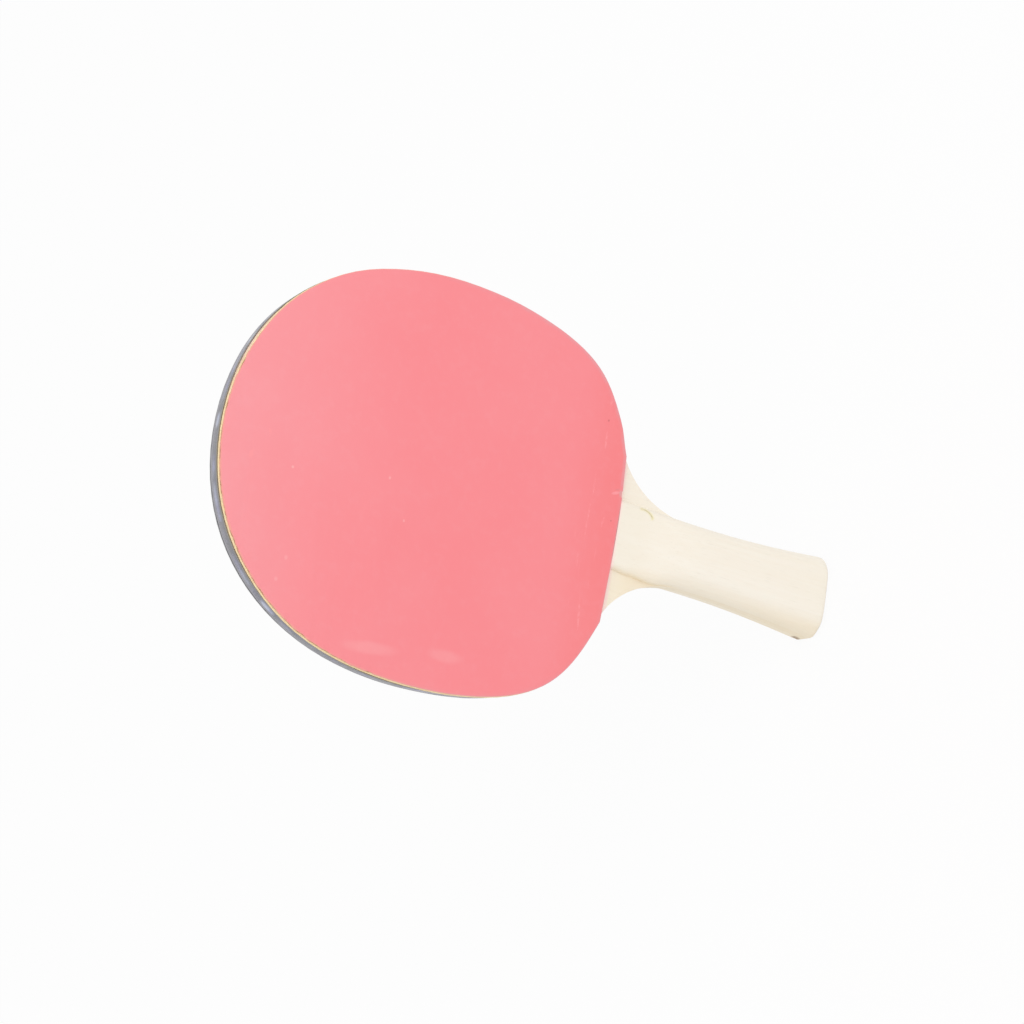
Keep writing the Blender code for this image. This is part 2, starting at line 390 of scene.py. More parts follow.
def between(value, low, high):
    """0 below low, 1 above high and smooth between them. It runs the other way where low is the larger."""
    if low < high:
        sockets = {"Value": value, "From Min": low, "From Max": high}
    else:
        sockets = {"Value": value, "From Min": high, "From Max": low, "To Min": 1.0, "To Max": 0.0}
    return value.node("ShaderNodeMapRange", {"interpolation_type": "SMOOTHSTEP"}, sockets)


def patches(place, scale, low, high, **settings):
    """Noise made into soft patches: 0 where it is below low, 1 where it is above high."""
    return between(noise(place, scale, **settings), low, high)


def tinted(share, colour, other):
    """Two colours mixed by a share: the first where it is 0, the second where it is 1."""
    sockets = {0: share}
    for socket, given in ((6, colour), (7, other)):
        sockets[socket] = given if isinstance(given, Value) else (*given, 1)
    return share.node("ShaderNodeMix", {"data_type": "RGBA"}, sockets, output=2)


def axis(place, name):
    """One of the three coordinates of a place."""
    return place.node("ShaderNodeSeparateXYZ", {}, {"Vector": place}, output=name)


def above_cut(place):
    """Height above the rubbers' straight edge."""
    return axis(place, "Z") - CUT


def distance(value):
    """Size of a value, whatever its sign."""
    return value.math("ABSOLUTE", value, 0)


def reach(place, centre, size, turn=0.0):
    """Distance from a centre, 1 where an oval of this size ends. The oval is turned in the bat's face."""
    sockets = {"Vector": place, "Location": centre, "Rotation": (0, turn, 0), "Scale": size}
    inside = place.node("ShaderNodeMapping", {"vector_type": "TEXTURE"}, sockets)
    return place.node("ShaderNodeVectorMath", {"operation": "LENGTH"}, {0: inside}, output="Value")


def mark(place, across, above, length, width, turn=0):
    """A soft oval on the bat's face, in millimetres across it and above the rubbers' straight edge."""
    centre = (across * MM, 0, CUT + above * MM)
    size = (length / 2 * MM, MARK_DEPTH, width / 2 * MM)
    return between(reach(place, centre, size, -math.radians(turn)), 1.0, MARK_CORE)


def start_finish(name):
    """A new material and the place on the piece that its patterns read."""
    made = bpy.data.materials.new(name)
    made.use_nodes = True
    tree = made.node_tree
    return made, Value(tree, tree.nodes.new("ShaderNodeTexCoord").outputs["Object"])


def end_finish(made, colour, roughness, relief, depth, **constants):
    """Link what changes over the surface, and set the numbers that don't."""
    shader = made.node_tree.nodes["Principled BSDF"]
    links = made.node_tree.links
    bump = relief.node("ShaderNodeBump", {}, {"Height": relief, "Strength": 1.0, "Distance": depth})
    for name, given in (("Base Color", colour), ("Roughness", roughness), ("Normal", bump)):
        links.new(given.socket, shader.inputs[name])
    for name, number in constants.items():
        shader.inputs[name.replace("_", " ")].default_value = number
    return made


def dust_and_sheen(place):
    """Share of the dusty haze and painted sheen on a rubber: a haze towards the tip that is painted sheen,
    soft dusty clouds and fine specks.
    """
    clouds = patches(place, 18, 0.35, 0.70, detail=3, roughness=0.55, distortion=0.4)
    specks = patches(place, 300, 0.45, 0.75, detail=3, roughness=0.6)
    return between(above_cut(place), *PAINTED_TIP_SHEEN) * 0.55 + clouds * 0.14 + specks * 0.10


def scuffing(place, scuffs):
    """Share of the scuffs on a rubber: fine streaks in a band near the handle, and those with a place."""
    above = above_cut(place)
    band = between(above, *SCUFFED_FROM) * between(above, *SCUFFED_TO)
    drawn = stretched(place, SCUFF_STREAKS)
    streaks = patches(drawn, 1, 0.56, 0.70, detail=3, roughness=0.6, distortion=0.2)
    scuff = streaks * patches(place, 70, 0.46, 0.64) * band
    ragged = 0.25 + 0.75 * patches(place, 800, 0.42, 0.60, roughness=0.6)
    for placed in scuffs:
        scuff = scuff + mark(place, *placed) * ragged
    return between(scuff, 0.0, 1.0)


def rubber_finish(name, body, deep, bloom_and_sheen, scuffed, cut, side, inner, pip, scuffs=(), smears=()):
    """Smooth rubber with a dusty haze and a painted sheen towards the tip, pale scuffs, a rim near the
    handle with wear and painted shade (painted light on black rubber), a painted highlight on its side, and
    painted light and shade at the pips.
    """
    made, place = start_finish(name)
    above = above_cut(place)
    # Dusty haze with a painted sheen towards the tip
    dust_and_tip_sheen = dust_and_sheen(place)
    scuff = scuffing(place, scuffs)
    # Deeper near the handle, and paler towards the tip with the painted sheen
    colour = tinted(between(above, *DEEP) * 0.8, body, deep)
    colour = tinted(dust_and_tip_sheen, colour, bloom_and_sheen)
    colour = tinted(scuff * 0.7, colour, scuffed)
    for tint, strength, *placed in smears:
        colour = tinted(mark(place, *placed) * strength, colour, tint)
    rim = place.node("ShaderNodeAttribute", {"attribute_name": "rim"}, {}, output="Fac")
    # The rim near the handle: wear with a painted shade on red rubber and a paler painted light on black,
    # fainter between the nick and the lower corner
    near_handle = between(above, *NEAR_HANDLE)
    rim_wear_and_light = between(rim, *RIM_WEAR_AND_LIGHT) * near_handle * (0.22 + 0.50 * patches(place, 170, 0.35, 0.65))
    rim_fainter = between(axis(place, "X"), *RIM_FAINTER)
    colour = tinted(rim_wear_and_light * (1 - rim_fainter * 0.75), colour, cut)
    # The rim's side: a painted highlight, in the colour of the rim near the handle
    colour = tinted(between(rim, *RIM_SIDE) * 0.8, colour, tinted(near_handle, side, cut))
    depth = distance(axis(place, "Y"))
    seat = SHEET_FACE - SHEET_SOLID
    # Painted light and shade at the pips: the sheet's inside between them, and the pips themselves
    colour = tinted(between(depth, *(seat + step for step in INSIDE)), colour, inner)
    colour = tinted(between(depth, *(seat + step for step in PIP_SIDE)), colour, pip)
    grain = noise(place, 3800, roughness=0.6)
    roughness = 0.50 + dust_and_tip_sheen * 0.10 + scuff * 0.08
    relief = grain * 0.6 + scuff * 0.4
    return end_finish(made, colour, roughness, relief, RUBBER_RELIEF, Specular_IOR_Level=0.3)


def wood_finish(name, pale, dark, stains, grain_turn=0.0):
    """Bare sanded wood, its fibres along the bat, or across it where the grain is turned."""
    made, place = start_finish(name)
    lying = stretched(place, (1, 1, 1), (0, grain_turn, 0))
    bands = patches(stretched(lying, GROWTH_BANDS), 1, 0.30, 0.72, distortion=0.6)
    fibres = patches(stretched(lying, FIBRES), 1, 0.30, 0.72, detail=4, roughness=0.6)
    pores = patches(stretched(lying, PORES), 1, 0.62, 0.78, detail=1)
    colour = tinted(bands * 0.45 + fibres * 0.30, pale, dark)
    colour = tinted(pores * 0.18, colour, [part * 0.72 for part in dark])
    for stain, tint in stains:
        colour = tinted(stain(place), colour, tint)
    roughness = 0.52 + fibres * 0.10
    relief = 1 - pores * 0.8 - fibres * 0.25
    return end_finish(made, colour, roughness, relief, WOOD_RELIEF, Specular_IOR_Level=0.3)


def foam_finish(name, light, deep, pit, glued):
    """Sponge: open cells with darker pits, darker next to the tape, and a brown painted shade in dashes
    under the sheet, between the pips.
    """
    made, place = start_finish(name)
    depth = distance(axis(place, "Y"))
    pits = between(cells(place, 2400), 0.45, 0.12)
    colour = tinted(patches(place, 300, 0.35, 0.65) * 0.6, light, deep)
    colour = tinted(pits * 0.30, colour, pit)
    # Darker next to the tape
    colour = tinted(between(depth, *DARKER_BY_TAPE) * 0.12, colour, glued)
    # Brown painted shade in dashes on the foam's face under the sheet, between the pips
    glue = between(depth, *(FOAM_FACE + step for step in PIP_GAP_SHADE))
    colour = tinted(glue * (0.1 + 0.8 * patches(place, 210, 0.44, 0.56, detail=1)), colour, glued)
    return end_finish(made, colour, 0.85 + pits * 0.1, 1 - pits, FOAM_RELIEF, Specular_IOR_Level=0.1)


def tape_finish(name, grey, blue, rubbed_and_reflected, painted_sheen_colour, painted_gleam_colour, back, front):
    """Dark glossy film with fine lines, scuffed patches that are partly painted reflection, a painted sheen
    and painted gleams along its middle, and borders painted paler against their shade.
    """
    made, place = start_finish(name)
    lines = patches(stretched(place, TAPE_LINES), 1, 0.35, 0.70, roughness=0.6)
    # Scuffed patches, paler and bluish: partly wear, partly painted reflection
    rub_and_reflection = patches(place, 120, 0.42, 0.66, detail=3, roughness=0.6, distortion=0.5)
    tone = patches(place, 45, 0.38, 0.62)
    across = axis(place, "Y")
    # Painted sheen and painted gleams along the middle of the film
    sheen_band = between(distance(across - SHEEN_MIDDLE), *SHEEN_REACH)
    flat = stretched(place, SHEEN_STRETCH)
    sheen = sheen_band * patches(flat, 95, 0.40, 0.66, detail=3, roughness=0.55, distortion=0.8)
    gleam = sheen_band * patches(flat, 48, 0.52, 0.76, detail=3, roughness=0.55, distortion=0.9)
    # Stretches without the painted sheen
    for placed in TAPE_PLAIN_STRETCHES:
        plain = 1 - mark(place, *placed)
        sheen = sheen * plain
        gleam = gleam * plain
    for strength, *placed in PAINTED_TAPE_GLEAMS:
        gleam = gleam.math("MAXIMUM", gleam, sheen_band * mark(place, *placed) * strength)
    colour = tinted(tone, grey, blue)
    colour = tinted(lines * 0.3 + rub_and_reflection * 0.3, colour, rubbed_and_reflected)
    colour = tinted(sheen * 0.80, colour, painted_sheen_colour)
    colour = tinted(gleam * 0.9, colour, painted_gleam_colour)
    # Borders painted paler against the shade at the film's edges, the front one yellowish
    colour = tinted(between(across, *BACK_BORDER_LIGHT) * 0.75, colour, back)
    colour = tinted(between(across, *FRONT_BORDER_LIGHT) * 0.60, colour, front)
    creases = noise(place, 420, detail=3, roughness=0.6, distortion=0.8)
    roughness = 0.26 + rub_and_reflection * 0.16 + lines * 0.06
    relief = creases * 0.8 + lines * 0.2
    return end_finish(made, colour, roughness, relief, TAPE_RELIEF, Specular_IOR_Level=0.6)


def on_front(place):
    """1 in front of the middle of the bat, 0 behind it."""
    return between(axis(place, "Y"), *FRONT_Y)


def along_dent(place, width):
    """1 along the arc of the dent, and 0 at this width from it and past its ends."""
    far = reach(place, DENT_CENTRE, (1, THROUGH, 1))
    ring = between(far, DENT_RADIUS - width, DENT_RADIUS) * between(far, DENT_RADIUS + width, DENT_RADIUS)
    turn = (DENT_FROM + DENT_TO) / 2
    spoke = Vector((math.cos(turn), 0, math.sin(turn)))
    half_chord = DENT_RADIUS * math.sin((DENT_TO - DENT_FROM) / 2) + width / 2
    ends = reach(place, DENT_CENTRE + spoke * DENT_RADIUS, (half_chord, half_chord * THROUGH, half_chord))
    return ring * between(ends, 1.0, 0.8) * on_front(place)


def dent_stain(place):
    """Share of the yellow mark that is left round the dent of the handle."""
    return along_dent(place, DENT_STAIN_WIDTH) * 0.9


def dent_dirt(place):
    """Share of the dirt that is left along the bottom of the dent."""
    return along_dent(place, DENT_DIRT_WIDTH) * (0.35 + 0.6 * patches(place, 500, 0.40, 0.60, detail=1))


def painted_lower_shade(place):
    """Painted shade along the lower edge of the handle, warm and streaked along the grain."""
    rim_wear_and_light = between(axis(place, "X"), *LOWER_SHADE_X) * between(above_cut(place), *LOWER_SHADE_Z)
    return rim_wear_and_light * (0.45 + 0.25 * noise(stretched(place, LOWER_SHADE_STREAKS), 1))


def yellowed_wing(place):
    """Yellowing of the bare wood at the lower wing."""
    return mark(place, *YELLOWED_WING) * 0.40


def butt_brown_patch(place):
    """Brown patch on the corner of the butt that the bat is set down on."""
    return between(reach(place, BROWN_PATCH_PLACE, BROWN_PATCH_SIZE), 1.0, 0.5) * 0.85


def painted_toe_shade(place):
    """Painted shade on the lower side of the scales, next to the wings."""
    side = between(axis(place, "X"), *TOE_SHADE_X) * between(distance(axis(place, "Y")), *TOE_SHADE_Y)
    return side * between(above_cut(place), *TOE_SHADE_Z) * 0.75


def toe_tan(place):
    """Light tan where thumb and finger hold the front of the handle, next to the rubber."""
    return between(above_cut(place), *TOE_TAN_Z) * on_front(place) * 0.35


def painted_pink_lift(place):
    """Painted pink light on the wood along the straight edge of the front rubber, lifting the shade there.
    """
    shelter = (SHEET_FACE - distance(axis(place, "Y"))) * PINK_LIFT_LEAN
    return between(above_cut(place) + shelter, *PINK_LIFT_Z) * on_front(place)


def solo(piece):
    """Make one object the only selected one."""
    bpy.ops.object.select_all(action="DESELECT")
    piece.select_set(True)
    bpy.context.view_layer.objects.active = piece


def copy_solid(node, name):
    """A new piece, in edit mode, that starts as a copy of a solid with its loose triangles merged."""
    piece = bpy.data.objects.new(name, frame["nodes"][node].data.copy())
    bpy.context.collection.objects.link(piece)
    piece.data.materials.clear()
    solo(piece)
    bpy.ops.mesh.customdata_custom_splitnormals_clear()
    bpy.ops.object.mode_set(mode="EDIT")
    bpy.ops.mesh.select_all(action="SELECT")
    bpy.ops.mesh.remove_doubles(threshold=MERGE)
    return piece


def select(piece, kind, test):
    """In edit mode, select the vertices, edges or faces that pass a test."""
    kinds = {"verts": "VERT", "edges": "EDGE", "faces": "FACE"}
    bpy.ops.mesh.select_mode(type=kinds[kind])
    bpy.ops.mesh.select_all(action="DESELECT")
    cage = bmesh.from_edit_mesh(piece.data)
    for element in getattr(cage, kind):
        if test(element):
            element.select_set(True)
    cage.select_flush_mode()
    bmesh.update_edit_mesh(piece.data)


def middle(element):
    """Middle of an edge or face."""
    return sum((corner.co for corner in element.verts), Vector()) / len(element.verts)


def at_depth(corner, depth):
    """True for a corner at this y."""
    return abs(corner.co.y - depth) < NEAR


def on_cut(corner):
    """True for a corner on the straight edge of a rubber or its foam."""
    return abs(corner.co.z - CUT) < NEAR


def depth_run(edge):
    """How far an edge runs from the front of the bat towards its back."""
    return abs(edge.verts[0].co.y - edge.verts[1].co.y)


def modify(piece, kind, **settings):
    """Add a modifier and apply it at once."""
    added = piece.modifiers.new(kind.lower(), kind)
    for name, setting in settings.items():
        setattr(added, name, setting)
    solo(piece)
    bpy.ops.object.modifier_apply(modifier=added.name)


def roughen(piece, grain, strength, level, group=""):
    """Move a surface, or a group of its corners, by noise: out where it is above a level, in below it."""
    bpy.ops.object.mode_set(mode="OBJECT")
    texture = bpy.data.textures.new(f"{piece.name}_unevenness", "CLOUDS")
    texture.noise_scale = grain
    modify(
        piece,
        "DISPLACE",
        texture=texture,
        texture_coords="LOCAL",
        strength=strength,
        mid_level=level,
        vertex_group=group,
    )


def smooth(piece, levels):
    """Subdivide the piece into a smooth form that keeps its sharp edges."""
    bpy.ops.mesh.tris_convert_to_quads()
    bpy.ops.mesh.select_mode(type="EDGE")
    bpy.ops.mesh.select_all(action="DESELECT")
    bpy.ops.mesh.edges_select_sharp(sharpness=SHARP)
    bpy.ops.transform.edge_crease(value=1.0)
    bpy.ops.object.mode_set(mode="OBJECT")
    modify(piece, "SUBSURF", levels=levels, render_levels=levels)
    bpy.ops.object.mode_set(mode="EDIT")


def pull(piece, test, move, spread):
    """Move the corners that pass a test, and those within this reach of them by less and less."""
    select(piece, "verts", test)
    bpy.ops.transform.translate(
        value=move,
        use_proportional_edit=spread > 0,
        proportional_edit_falloff="SMOOTH",
        proportional_size=max(spread, AT_PLACE),
    )


def settle(piece, node, finish):
    """Give the piece its finish and let it stand for its solid."""
    bpy.ops.object.mode_set(mode="OBJECT")
    solo(piece)
    bpy.ops.object.shade_smooth_by_angle(angle=SHARP)
    piece.data.materials.append(finish)
    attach(piece, "root")
    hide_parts(node)


def soften_rim(piece, face, width, segments):
    """Round the edges of a plate that lie round its face at this y."""

    def round_face(edge):
        level = all(at_depth(corner, face) for corner in edge.verts)
        return level and any(abs(side.normal.y) < SIDE_NORMAL for side in edge.link_faces)

    select(piece, "edges", round_face)
    bpy.ops.mesh.bevel(offset=width, segments=segments, affect="EDGES")


def squeeze_glue(piece, face, towards):
    """Press the flat face at this y into its glue line."""
    select(piece, "verts", lambda corner: at_depth(corner, face))
    bpy.ops.transform.translate(value=(0, math.copysign(GLUE_SQUEEZE, towards), 0))


def square_corner(piece):
    """Draw out the almost square corner of the butt, one row of the solid's rounding after the other."""

    def in_row(corner, height):
        return abs(corner.co.z - height) < NEAR and corner.co.x < -CORNER_FROM

    def outermost(height):
        cage = bmesh.from_edit_mesh(piece.data)
        return min(corner.co.x for corner in cage.verts if in_row(corner, height))

    cage = bmesh.from_edit_mesh(piece.data)
    heights = {round(corner.co.z, DIGITS) for corner in cage.verts if corner.co.x < -CORNER_FROM}
    side = outermost(max(height for height in heights if height < CORNER_HEIGHT + NEAR))
    for height in sorted(height for height in heights if height < CORNER_HEIGHT - NEAR):
        fall = max(CORNER_RADIUS - height, 0)
        inset = CORNER_RADIUS - math.sqrt(CORNER_RADIUS**2 - fall**2)
        edge = side - CORNER_FLARE * (1 - height / CORNER_HEIGHT) + inset
        move = edge - outermost(height)
        for depth, share in CORNER_SHARES:
            select(piece, "verts", lambda corner: in_row(corner, height) and abs(corner.co.y) < depth)
            bpy.ops.transform.translate(value=(move * share, 0, 0))


def veneer(node, name, finish, worn_wings=False):
    """A ply of the blade, glued to its neighbours, its rims eased by sanding, most of all at wings that
    wear.
    """
    low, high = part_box(node)
    piece = copy_solid(node, name)
    bpy.ops.mesh.dissolve_limited(angle_limit=FLAT)
    square_corner(piece)
    for face in (low.y, high.y):
        squeeze_glue(piece, face, face - (low.y + high.y) / 2)
    select(piece, "edges", lambda edge: depth_run(edge) < NEAR)
    bpy.ops.transform.edge_bevelweight(value=PLY_EDGE / WING_EDGE)
    if worn_wings:
        outer = max((low.y, high.y), key=abs)
        glued = outer + math.copysign(GLUE_SQUEEZE, outer)

        def at_wing(edge):
            level = all(at_depth(corner, glued) for corner in edge.verts)
            return level and 0 < CUT - middle(edge).z < WING_LENGTH

        select(piece, "edges", at_wing)
        bpy.ops.transform.edge_bevelweight(value=1 - PLY_EDGE / WING_EDGE)
    bpy.ops.object.mode_set(mode="OBJECT")
    modify(piece, "BEVEL", width=WING_EDGE, segments=ROUND, limit_method="WEIGHT")
    settle(piece, node, finish)


def outline_corner(piece, across, above):
    """Corner of a plate's outline nearest to a place across the bat and above the straight edge."""
    place = Vector((across, CUT + above))
    cage = bmesh.from_edit_mesh(piece.data)
    return min((corner.co.xz for corner in cage.verts), key=lambda flat: (flat - place).length)


def trim_front(piece, cut):
    """Give the front rubber or its foam its uneven outline, and its straight edge the corners of a cut."""
    for across, above, right, up, spread in OUTLINE_MOVES:
        here = outline_corner(piece, across, above)
        pull(piece, lambda corner: (corner.co.xz - here).length < AT_PLACE, (right, 0, up), spread)
    lower_end = Vector((cut[0][0], CUT + cut[0][1]))

    def too_near(edge):
        upright = depth_run(edge) > NEAR
        return upright and not on_cut(edge.verts[0]) and (middle(edge).xz - lower_end).length < CORNER_CLEAR

    select(piece, "edges", too_near)
    bpy.ops.mesh.dissolve_edges()
    select(piece, "edges", lambda edge: all(on_cut(end) for end in edge.verts) and depth_run(edge) < NEAR)
    bpy.ops.mesh.subdivide(number_cuts=len(cut) - 2)
    cage = bmesh.from_edit_mesh(piece.data)
    row = sorted({round(corner.co.x, DIGITS) for corner in cage.verts if on_cut(corner)})
    for start, (across, above, spread) in zip(row, cut):

        def at_start(corner):
            return on_cut(corner) and abs(corner.co.x - start) < NEAR

        pull(piece, at_start, (across - start, 0, above), spread)


def trim_back(piece):
    """Bring the straight edge of the back rubber or its foam to the handle, and cut the rest a bit short."""
    select(piece, "verts", on_cut)
    bpy.ops.transform.translate(value=(0, 0, -BACK_REACH))
    select(piece, "verts", lambda corner: corner.co.z > CUT)
    share = 1 - BACK_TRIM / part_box("edge_tape")[1].x
    bpy.ops.transform.resize(value=(share, 1, share), center_override=HEAD_MIDDLE)


def outline_points(piece, face):
    """Corners of the plate's face at this y, in order round it."""
    cage = bmesh.from_edit_mesh(piece.data)
    flat = [made for made in cage.faces if all(at_depth(corner, face) for corner in made.verts)]
    return [corner.co.copy() for corner in max(flat, key=lambda made: made.calc_area()).verts]


def inside_by(place, points):
    """How far a place lies inside a closed outline. It is below 0 outside the outline."""
    nearest = math.inf
    inside = False
    for point, following in zip(points, points[1:] + points[:1]):
        run = following - point
        share = min(max((place - point).dot(run) / run.length_squared, 0), 1)
        nearest = min(nearest, (point + run * share - place).length)
        if (point.z > place.z) != (following.z > place.z):
            crossing = point.x + run.x * (place.z - point.z) / run.z
            inside ^= crossing > place.x
    return nearest if inside else -nearest


def pip_places(points):
    """Places of the pips near the sheet's edge, on an even grid of triangles."""
    row_step = PIP_PITCH * math.sqrt(3) / 2
    columns = math.ceil(max(abs(point.x) for point in points) / PIP_PITCH)
    rows = math.ceil((max(point.z for point in points) - CUT) / row_step)
    places = []
    for row in range(rows):
        for column in range(-columns, columns + 1):
            place = Vector(((column + row % 2 / 2) * PIP_PITCH, points[0].y, CUT + row * row_step))
            if PIP_INSET < inside_by(place, points) < PIP_BAND:
                places.append(place)
    return places


def pips(points, inner, outer):
    """The moulded pips that can be seen from the sheet's edge, between two depths."""
    height = abs(outer - inner) + 2 * PIP_ROOT
    bpy.ops.object.mode_set(mode="OBJECT")
    bpy.ops.object.select_all(action="DESELECT")
    bpy.ops.mesh.primitive_cylinder_add(
        vertices=PIP_SIDES, radius=PIP_RADIUS, depth=height, rotation=(math.pi / 2, 0, 0)
    )
    pip = bpy.context.object
    bpy.ops.object.transform_apply(rotation=True)
    bpy.ops.object.mode_set(mode="EDIT")
    side = math.copysign(1, inner - outer)
    select(pip, "faces", lambda face: face.normal.y * side > END_NORMAL)
    bpy.ops.transform.resize(value=(PIP_TAPER, 1, PIP_TAPER))
    bpy.ops.object.mode_set(mode="OBJECT")
    made = []
    for place in pip_places(points):
        mesh = pip.data.copy()
        mesh.transform(Matrix.Translation((place.x, (inner + outer) / 2, place.z)))
        copy = bpy.data.objects.new("pip", mesh)
        bpy.context.collection.objects.link(copy)
        made.append(copy)
    bpy.data.objects.remove(pip)
    return made


def mark_rim(piece, points):
    """Note how near each corner of the sheet is to its outline, for the finish."""
    cage = bmesh.from_edit_mesh(piece.data)
    rim = cage.verts.layers.float.new("rim")
    for corner in cage.verts:
        flat = Vector((corner.co.x, points[0].y, corner.co.z))
        corner[rim] = min(max(1 - inside_by(flat, points) / RIM_BAND, 0), 1)
    bmesh.update_edit_mesh(piece.data)


def wave_rim(piece):
    """Make the sheet's outline uneven round the tip."""
    rim = bmesh.from_edit_mesh(piece.data).verts.layers.float["rim"]

    def waved(corner):
        return corner[rim] > WAVE_RIM and corner.co.z > CUT + WAVE_FROM and corner.co.x < WAVE_TO

    select(piece, "verts", waved)
    bpy.ops.object.vertex_group_assign_new()
    roughen(piece, RIM_WAVE_GRAIN, RIM_WAVE, EVEN, piece.vertex_groups[-1].name)
    bpy.ops.object.mode_set(mode="EDIT")


def rubber_sheet(side, name, finish):
    """Thin sheet with a softly rounded face, on the pips that show along its edge."""
    node = f"{side}_rubber_sheet"
    low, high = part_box(node)
    outer, inner = (low.y, high.y) if side == "front" else (high.y, low.y)
    seat = inner + math.copysign(PIP_HEIGHT, outer - inner)

    def round_tip(edge):
        return middle(edge).z > CUT + WAVE_FROM and depth_run(edge) < NEAR

    piece = copy_solid(node, name)
    bpy.ops.mesh.dissolve_limited(angle_limit=FLAT)
    if side == "front":
        trim_front(piece, SHEET_CUT)
    else:
        trim_back(piece)
    points = outline_points(piece, inner)
    if side == "front":
        select(piece, "edges", round_tip)
        bpy.ops.mesh.subdivide(number_cuts=RIM_CUTS)
    select(piece, "verts", lambda corner: at_depth(corner, inner))
    bpy.ops.transform.translate(value=(0, seat - inner, 0))
    select(piece, "faces", lambda face: abs(middle(face).y - outer) < NEAR)
    bpy.ops.mesh.inset(thickness=RIM_BAND, depth=0)
    soften_rim(piece, outer, SHEET_EDGE, ROUND)
    mark_rim(piece, points)
    if side == "front":
        wave_rim(piece)
    row = pips(points, inner, seat)
    solo(piece)
    for pip in row:
        pip.select_set(True)
    bpy.ops.object.join()
    settle(piece, node, finish)


def foam(side, finish):
    """Sponge with a cut edge, roughened by its open cells."""
    node = f"{side}_sponge"
    low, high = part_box(node)
    depth = (low.y + high.y) / 2
    thickness = high.y - low.y
    piece = copy_solid(node, f"{side}_foam")
    bpy.ops.mesh.dissolve_limited(angle_limit=FLAT)
    if side == "front":
        trim_front(piece, FOAM_CUT)
    else:
        trim_back(piece)
    for face in (low.y, high.y):
        soften_rim(piece, face, FOAM_EDGE, CHAMFER)
    select(piece, "edges", lambda edge: depth_run(edge) > thickness / 2)
    bpy.ops.mesh.subdivide(number_cuts=FOAM_ROWS)
    for share in FOAM_BULGE_STEPS:

        def bulging(corner):
            return corner.co.z > CUT + FOAM_BULGE_FROM and abs(corner.co.y - depth) < share * thickness

        select(piece, "verts", bulging)
        bpy.ops.transform.shrink_fatten(value=FOAM_BULGE / len(FOAM_BULGE_STEPS))
    select(piece, "edges", lambda edge: depth_run(edge) < NEAR)
    bpy.ops.mesh.subdivide(number_cuts=FOAM_CUTS)
    roughen(piece, FOAM_GRAIN, FOAM_ROUGHNESS, FOAM_LEVEL)
    settle(piece, node, finish)


def is_outside(corner):
    """True where the film's surface looks away from the middle of the head."""
    return corner.normal.dot(corner.co - HEAD_MIDDLE) > 0 and abs(corner.normal.y) < SIDE_NORMAL


def edge_tape(finish):
    """Film round the head's edge, crowned across its width and slightly wrinkled."""
    piece = copy_solid("edge_tape", "edge_film")
    smooth(piece, TAPE_SMOOTHING)
    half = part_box("edge_tape")[1].y
    for share in TAPE_CROWN_STEPS:
        select(piece, "verts", lambda corner: abs(corner.co.y) > half * share and is_outside(corner))
        bpy.ops.transform.shrink_fatten(value=-TAPE_CROWN / len(TAPE_CROWN_STEPS))
    roughen(piece, TAPE_GRAIN, TAPE_WRINKLE, TAPE_LEVEL)
    settle(piece, "edge_tape", finish)


def from_dent(place):
    """How far a place on the handle's face lies from the dent's arc."""
    spoke = place - DENT_CENTRE
    turn = min(max(math.atan2(spoke.z, spoke.x), DENT_FROM), DENT_TO)
    on_arc = Vector((math.cos(turn), 0, math.sin(turn))) * DENT_RADIUS
    return Vector((spoke.x - on_arc.x, 0, spoke.z - on_arc.z)).length


def press_dent(piece):
    """Push a curved groove into the handle's face."""

    def faces_front(element):
        return element.normal.y < -FRONT_NORMAL

    select(piece, "faces", lambda face: faces_front(face) and from_dent(middle(face)) < DENT_FIELD)
    bpy.ops.mesh.subdivide(number_cuts=DENT_CUTS)
    for share in DENT_STEPS:
        width = DENT_WIDTH * share
        select(piece, "verts", lambda corner: faces_front(corner) and from_dent(corner.co) < width)
        bpy.ops.transform.translate(value=(0, DENT_DEPTH / len(DENT_STEPS), 0))


def fill_side(piece):
    """Give the lower side of the front scale its fuller line beside the wing."""
    for below, move, spread in SIDE_MOVES:

        def beside(corner):
            return abs(CUT - below - corner.co.z) < AT_PLACE and corner.co.x < -SIDE_FROM

        pull(piece, beside, (move, 0, 0), spread)


def fit_toe(piece):
    """Bring the end of the front scale to the straight edge of the rubber."""
    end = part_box("front_handle_scale")[1].z
    select(piece, "verts", lambda corner: abs(corner.co.z - end) < NEAR)
    bpy.ops.transform.translate(value=(0, 0, TOE_RISE))
    bpy.ops.transform.rotate(value=-TOE_TURN, orient_axis="Y", center_override=(0, 0, end + TOE_RISE))


def handle_scale(side, finish):
    """Half of the handle, smoothed from its solid. The front one fits the cut rubber and has the dent."""
    node = f"{side}_handle_scale"
    piece = copy_solid(node, f"{side}_grip")
    seat = min((corner.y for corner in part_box(node)), key=abs)
    squeeze_glue(piece, seat, -seat)
    square_corner(piece)
    if side == "front":
        fill_side(piece)
        fit_toe(piece)
    smooth(piece, HANDLE_SMOOTHING)
    if side == "front":
        press_dent(piece)
    settle(piece, node, finish)


def background_rays(value):
    """1 for the rays that see the background itself: from the camera, or by reflection or through glass."""
    path = value.tree.nodes.new("ShaderNodeLightPath")
    seen = Value(value.tree, path.outputs["Is Camera Ray"])
    for name in ("Is Glossy Ray", "Is Transmission Ray"):
        seen = seen.math("MAXIMUM", seen, Value(value.tree, path.outputs[name]))
    return seen


